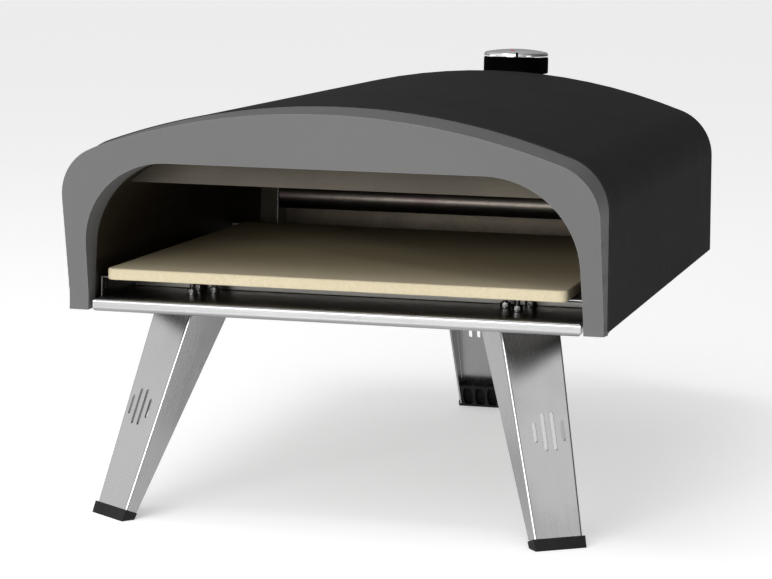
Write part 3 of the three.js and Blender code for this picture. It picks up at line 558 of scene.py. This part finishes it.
def firebox():
    refined("liner_tunnel", MATERIALS["liner_steel"], 0.25 * MM)
    refined("liner_rear_wall", MATERIALS["liner_steel"], 0.25 * MM)
    refined("liner_header", MATERIALS["header_steel"], 0.3 * MM)
    for side in ("left", "right"):
        refined("stone_ledge_" + side, MATERIALS["polished_steel"], 0.3 * MM)
        refined("burner_bracket_" + side, MATERIALS["polished_steel"], 0.3 * MM)
    baking_stone()
    refined("burner_tube", MATERIALS["burner_steel"], 0.2 * MM)


# ------------------------------------------------------------------ legs
def leg_place(name):
    """A leg's own axes: x along its pin, y to the inside, z up, from its hinge."""
    joint = next(j for j in frame["joints"] if j["child"] == "leg_" + name)
    return Matrix.Translation(Vector(joint["pos_m"])) @ Matrix.Rotation(LEG_TURNS[name], 4, "Z")


def on_bend(place, inset):
    """Test for a corner between web and flange, `inset` inside the outer faces."""
    inverse = place.inverted()

    def test(co):
        local = inverse @ co
        half = (WEB_WIDTH - (HINGE_DROP - local.z) * WEB_TAPER) / 2 - inset
        web = local.z * LEG_SPLAY - HINGE_DEPTH + inset
        return abs(abs(local.x) - half) < 0.06 * MM and abs(local.y - web) < 0.06 * MM

    return test


def hexagon_nut(bm, place, radius, height):
    """Nut with chamfered corners: the rings meet the flats where the chamfer cone cuts them."""
    chamfer = 0.13 * radius

    def ring(shrink, z):
        corners = []
        for i in range(24):
            angle = 2 * math.pi * i / 24
            flat = (angle + math.pi / 6) % (math.pi / 3) - math.pi / 6
            reach = min(radius * math.cos(math.pi / 6) / math.cos(flat), radius - shrink)
            corner = Vector((reach * math.cos(angle), reach * math.sin(angle), z))
            corners.append(bm.verts.new(place @ corner))
        return corners

    lowest, highest = chamfer * 0.6, height - chamfer * 0.6
    rings = [ring(chamfer, 0), ring(0.02 * radius, lowest),
             ring(0.02 * radius, highest), ring(chamfer, height)]
    sweep_rings(bm, rings)
    bm.faces.new(rings[0])
    bm.faces.new(rings[-1])


def leg_bolt(node, turn):
    """Pan-head bolt from below, with washer and nut on the oven floor and a threaded end."""
    low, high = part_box(node)
    middle = (low + high) / 2
    place = Matrix.Translation((middle.x, middle.y, 0)) @ Matrix.Rotation(turn, 4, "Z")
    head, floor = low.z + SCREW_HEAD, high.z - BOLT_ABOVE_FLOOR
    profile = [(0, low.z + 0.9 * MM), (1.0, low.z + 0.9 * MM), (1.2, low.z), (2.1, low.z + 0.02 * MM),
               (2.8, low.z + 0.45 * MM), (3.2, low.z + 1.25 * MM), (3.2, head), (1.9, head),
               (1.9, floor), (4.25, floor), (4.4, floor + 0.12 * MM), (4.4, floor + 0.68 * MM),
               (4.25, floor + 0.8 * MM), (1.9, floor + 0.8 * MM)]
    z = floor + 3.9 * MM
    while z < high.z - 1.2 * MM:
        profile += [(1.74, z), (1.9, z + 0.2 * MM), (1.9, z + 0.3 * MM)]
        z += 0.5 * MM
    profile += [(1.8, high.z - 0.6 * MM), (1.3, high.z), (0, high.z)]
    bm = bmesh.new()
    turned_rings(bm, [(r * MM, h) for r, h in profile], place, 28)
    hexagon_nut(bm, place @ Matrix.Translation((0, 0, floor + 0.75 * MM)), NUT_RADIUS, NUT_HEIGHT)
    bmesh.ops.recalc_face_normals(bm, faces=bm.faces)
    piece = make_object(node + "_finished", bm, [MATERIALS["zinc_steel"]])
    smooth_by_angle(piece, 28)
    stand_for(piece, node)


def legs():
    for name, turn in LEG_TURNS.items():
        place = leg_place(name)
        bends = [(on_bend(place, 0), LEG_BEND_OUTSIDE), (on_bend(place, LEG_SHEET), LEG_BEND_INSIDE)]
        refined("leg_" + name, LEG_STEEL[name], 0.22 * MM, bends=bends)
        refined("foot_" + name, MATERIALS["black_rubber"], 0.45 * MM)
        refined("leg_bracket_" + name, MATERIALS["bracket_steel"], 0.3 * MM)
        refined("leg_pin_" + name, MATERIALS["zinc_steel"], 0.3 * MM, smooth=50, corner=55)
        for i in (1, 2, 3):
            leg_bolt(f"leg_bolt_{name}_{i}", turn)


# ------------------------------------------------------------------ knob
def knob():
    centre = Vector(((GRIP_LOW.x + GRIP_HIGH.x) / 2, (GRIP_LOW.y + GRIP_HIGH.y) / 2, 0))
    radius = (GRIP_HIGH.x - GRIP_LOW.x) / 2

    def fluted(angle, height):
        inside = GRIP_LOW.z + 1.5 * MM < height < GRIP_HIGH.z - 1.5 * MM
        return -FLUTE_DEPTH * (0.5 - 0.5 * math.cos(GRIP_FLUTES * angle)) if inside else 0.0

    low, high = GRIP_LOW.z, GRIP_HIGH.z
    profile = [(0, low + 12 * MM), (STEM_BORE, low + 12 * MM), (STEM_BORE, low), (radius - 1.4 * MM, low),
               (radius - 0.5 * MM, low + 0.3 * MM), (radius - 0.1 * MM, low + 1.0 * MM),
               (radius - 0.1 * MM, low + 1.4 * MM), (radius, low + 1.8 * MM), (radius, high - 1.9 * MM),
               (radius - 0.1 * MM, high - 1.4 * MM), (radius - 0.3 * MM, high - 0.5 * MM),
               (radius - 0.9 * MM, high), (0, high)]
    grip = lathe("knob_grip_fluted", profile, centre, GRIP_FLUTES * 6, MATERIALS["knob_plastic"], fluted, 50)
    stand_for(grip, "knob_grip")
    cap(centre, radius)
    ring_low, ring_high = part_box("knob_ring")
    outer = (ring_high.x - ring_low.x) / 2
    ring = lathe("knob_trim_ring", [(10 * MM, ring_low.z), (outer - 0.2 * MM, ring_low.z),
                                    (outer, ring_low.z + 0.2 * MM), (outer, ring_high.z - 0.6 * MM),
                                    (outer - 0.3 * MM, ring_high.z - 0.15 * MM),
                                    (outer - 0.8 * MM, ring_high.z), (10.2 * MM, ring_high.z),
                                    (10 * MM, ring_high.z - 0.2 * MM), (10 * MM, ring_low.z)],
                 centre, 120, MATERIALS["polished_steel"])
    stand_for(ring, "knob_ring")


def cap(centre, radius):
    """Domed cap with a pointer notch in its rim and a small red mark on the front of its dome."""
    low, high = CAP_LOW.z, CAP_HIGH.z
    rim = low + 4.1 * MM
    crown = radius - 2.4 * MM

    def dome(r):
        return rim + (high - rim) * (1 - (r / crown) ** 2)

    foot = low + 0.5 * MM
    profile = [(0, low), (radius - 0.6 * MM, low), (radius - 0.1 * MM, low + 0.2 * MM)]
    for i in range(9):
        angle = i * math.pi / 18
        profile.append((radius - (radius - crown) * (1 - math.cos(angle)),
                        foot + (rim - foot) * math.sin(angle)))
    profile += [(crown * (1 - i / 12), dome(crown * (1 - i / 12))) for i in range(13)]
    solid = lathe("knob_cap_domed", profile, centre, 144, MATERIALS["knob_chrome"])
    stand_for(solid, "knob_cap")
    notch = bmesh.new()
    front = centre.y - radius
    height = dome(radius - POINTER_DEPTH) - low - 0.4 * MM
    bmesh.ops.create_cube(notch, size=1)
    for v in notch.verts:
        v.co = Vector((centre.x + v.co.x * 2 * POINTER_HALF,
                       front - 0.04 * MM + (v.co.y + 0.5) * POINTER_DEPTH,
                       foot + (v.co.z + 0.5) * height))
    bmesh.ops.rotate(notch, verts=notch.verts, cent=centre, matrix=Matrix.Rotation(POINTER_TURN, 3, "Z"))
    round_edges(notch, list(notch.edges), 0.25 * MM, 3)
    inlay = make_object("knob_pointer_inlay", notch, [MATERIALS["knob_plastic"]])
    smooth_by_angle(inlay)
    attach(inlay, "knob")
    dot = lathe("knob_red_mark", [(0, -0.3 * MM), (1.9 * MM, -0.3 * MM), (1.9 * MM, 0.12 * MM),
                                  (1.7 * MM, 0.2 * MM), (0, 0.24 * MM)],
                centre + RED_MARK_PLACE + Vector((0, 0, dome(RED_MARK_PLACE.length))), 32, RED_ENAMEL)
    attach(dot, "knob")


def pan_screw(node, place, head_radius, length):
    """Pan-head screw whose cross recess is a dark cross of painted shade laid on the head; local z runs from the
    head into the sheet.
    """
    head = SCREW_HEAD
    rings = [(0, 0), (head_radius * 0.45, 0.02 * MM), (head_radius * 0.72, 0.2 * MM),
             (head_radius * 0.9, 0.6 * MM), (head_radius, 1.1 * MM), (head_radius, head), (2 * MM, head)]
    z = head + 0.4 * MM
    while z < head + length - 1 * MM:
        rings += [(1.75 * MM, z), (2 * MM, z + 0.3 * MM)]
        z += 0.7 * MM
    rings += [(1.4 * MM, head + length), (0, head + length)]
    bm = bmesh.new()
    turned_rings(bm, rings, place, 32)
    bmesh.ops.recalc_face_normals(bm, faces=bm.faces)
    piece = make_object(node + "_finished", bm, [MATERIALS["zinc_steel"]])
    smooth_by_angle(piece, 35)
    stand_for(piece, node)
    # painted shade: two thin dark boxes on the head stand for the shaded cross recess; no hole is cut
    cross = bmesh.new()
    for turn in (0, math.pi / 2):
        for v in bmesh.ops.create_cube(cross, size=1)["verts"]:
            local = Vector((v.co.x * head_radius, v.co.y * 0.7 * MM, (v.co.z + 0.4) * 0.3 * MM))
            v.co = place @ Matrix.Rotation(turn, 4, "Z") @ local
    recess_shade_cross = make_object(node + "_cross_shade", cross, [MATERIALS["black_rubber"]])
    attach(recess_shade_cross, "chassis")


def screws():
    for i in (1, 2, 3, 4):
        low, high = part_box(f"hood_screw_{i}")
        place = Matrix.Translation(((low.x + high.x) / 2, (low.y + high.y) / 2, low.z))
        pan_screw(f"hood_screw_{i}", place, *HOOD_SCREW)
    for i in (1, 2):
        low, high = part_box(f"housing_screw_{i}")
        place = Matrix.Translation(((low.x + high.x) / 2, high.y, (low.z + high.z) / 2)) \
            @ Matrix.Rotation(math.pi / 2, 4, "X")
        pan_screw(f"housing_screw_{i}", place, *HOUSING_SCREW)


def gas_train():
    parts = {
        "venturi_tube": "zinc_steel", "gas_injector": "brass", "gas_pipe": "zinc_steel",
        "gas_valve_body": "brass", "gas_inlet_pipe": "copper", "gas_inlet_nipple": "brass",
        "igniter_insulator": "ceramic", "igniter_wire": "zinc_steel", "ignition_lead": "black_rubber",
        "thermocouple_probe": "copper", "thermocouple_lead": "copper", "valve_stem": "zinc_steel",
        "insulation_blanket": "insulation",
    }
    for node, slot in parts.items():
        refined(node, MATERIALS[slot], 0.15 * MM, smooth=50, corner=55)


# ------------------------------------------------------------------ stage
def floor():
    bm = bmesh.new()
    bmesh.ops.create_grid(bm, x_segments=8, y_segments=8, size=30)
    make_object("floor", bm, [floor_material()])


def floor_material():
    m = Nodes("pale_floor", 0.8)
    m.colour(m.mix(m.noise(3, 3), (0.86, 0.86, 0.86), (0.88, 0.88, 0.88)))
    m.shader.inputs["Emission Color"].default_value = (1, 1, 1, 1)
    m.shader.inputs["Emission Strength"].default_value = 0.4
    return m.material


def area_light(name, place, target, size, power):
    data = bpy.data.lights.new(name, "AREA")
    data.shape = "RECTANGLE"
    data.size, data.size_y = size
    data.energy = power
    light = bpy.data.objects.new(name, data)
    bpy.context.scene.collection.objects.link(light)
    light.location = place
    light.rotation_euler = (Vector(target) - Vector(place)).to_track_quat("-Z", "Y").to_euler()


def studio():
    """Soft surroundings: brightest to the front left and overhead, greyer to the right and behind."""
    world = bpy.data.worlds.new("studio")
    bpy.context.scene.world = world
    world.use_nodes = True
    tree = world.node_tree
    background = tree.nodes["Background"]
    sky = tree.nodes.new("ShaderNodeTexCoord")
    split = tree.nodes.new("ShaderNodeSeparateXYZ")
    tree.links.new(sky.outputs["Generated"], split.inputs[0])
    pair, product = (tree.nodes.new("ShaderNodeMath") for _ in range(2))
    for node in (pair, product):
        node.operation = "MULTIPLY"
    tree.links.new(pair.outputs[0], product.inputs[0])
    for socket, axis, stops in (
            (pair.inputs[0], "X", ((-1.0, 1.9), (-0.5, 1.9), (0.0, 1.8), (0.45, 0.8), (1.0, 0.3))),
            (pair.inputs[1], "Y", ((-1.0, 1.35), (-0.6, 0.95), (0.1, 0.5), (0.6, 0.36), (1.0, 0.36))),
            (product.inputs[1], "Z", ((-1.0, 0.6), (0.0, 0.75), (0.25, 1.0), (0.5, 1.3), (0.75, 1.2),
                                      (1.0, 0.8)))):
        curve = tree.nodes.new("ShaderNodeFloatCurve")
        points = curve.mapping.curves[0].points
        for _ in stops[2:]:
            points.new(0.5, 0.5)
        for point, (place, level) in zip(points, stops):
            point.location = ((place + 1) / 2, level / 2)
        curve.mapping.update()
        to_unit = tree.nodes.new("ShaderNodeMapRange")
        to_unit.inputs["From Min"].default_value = -1.0
        tree.links.new(split.outputs[axis], to_unit.inputs["Value"])
        tree.links.new(to_unit.outputs["Result"], curve.inputs["Value"])
        tree.links.new(curve.outputs["Value"], socket)
    tree.links.new(product.outputs[0], background.inputs["Strength"])
    background.inputs["Color"].default_value = (4, 4, 4, 1)


def lamps():
    area_light("front_softbox", (-0.55, -2.85, 0.7), (0, -0.1, 0.2), (1.3, 1.0), 36)
    area_light("left_softbox", (-2.48, -0.05, 0.6), (-0.15, -0.25, 0.08), (1.3, 1.0), 3.6)
    area_light("right_softbox", (2.2, -1.1, 1.15), (0.15, -0.25, 0.08), (0.8, 0.8), 3.0)
    area_light("top_softbox", (-0.5, -0.7, 2.2), (0, 0, 0.2), (1.6, 0.3), 11)


def camera():
    yaw, pitch, roll = CAMERA_YAW, CAMERA_PITCH, CAMERA_ROLL
    forward = Vector((-math.sin(yaw) * math.cos(pitch), math.cos(yaw) * math.cos(pitch), -math.sin(pitch)))
    right = Vector((math.cos(yaw), math.sin(yaw), 0))
    down = forward.cross(right)
    level_x = math.cos(roll) * right + math.sin(roll) * down
    level_y = math.sin(roll) * right - math.cos(roll) * down
    data = bpy.data.cameras.new("camera")
    data.lens = CAMERA_LENS
    data.sensor_width = CAMERA_SENSOR
    data.clip_end = 100
    view = bpy.data.objects.new("camera", data)
    bpy.context.scene.collection.objects.link(view)
    axes = Matrix((level_x, level_y, -forward)).transposed().to_4x4()
    view.matrix_world = Matrix.Translation(CAMERA_PLACE) @ axes
    bpy.context.scene.camera = view


camera()
studio()
lamps()
floor()
casing()
firebox()
legs()
knob()
gas_train()
screws()
bpy.context.scene.view_settings.view_transform = "Standard"
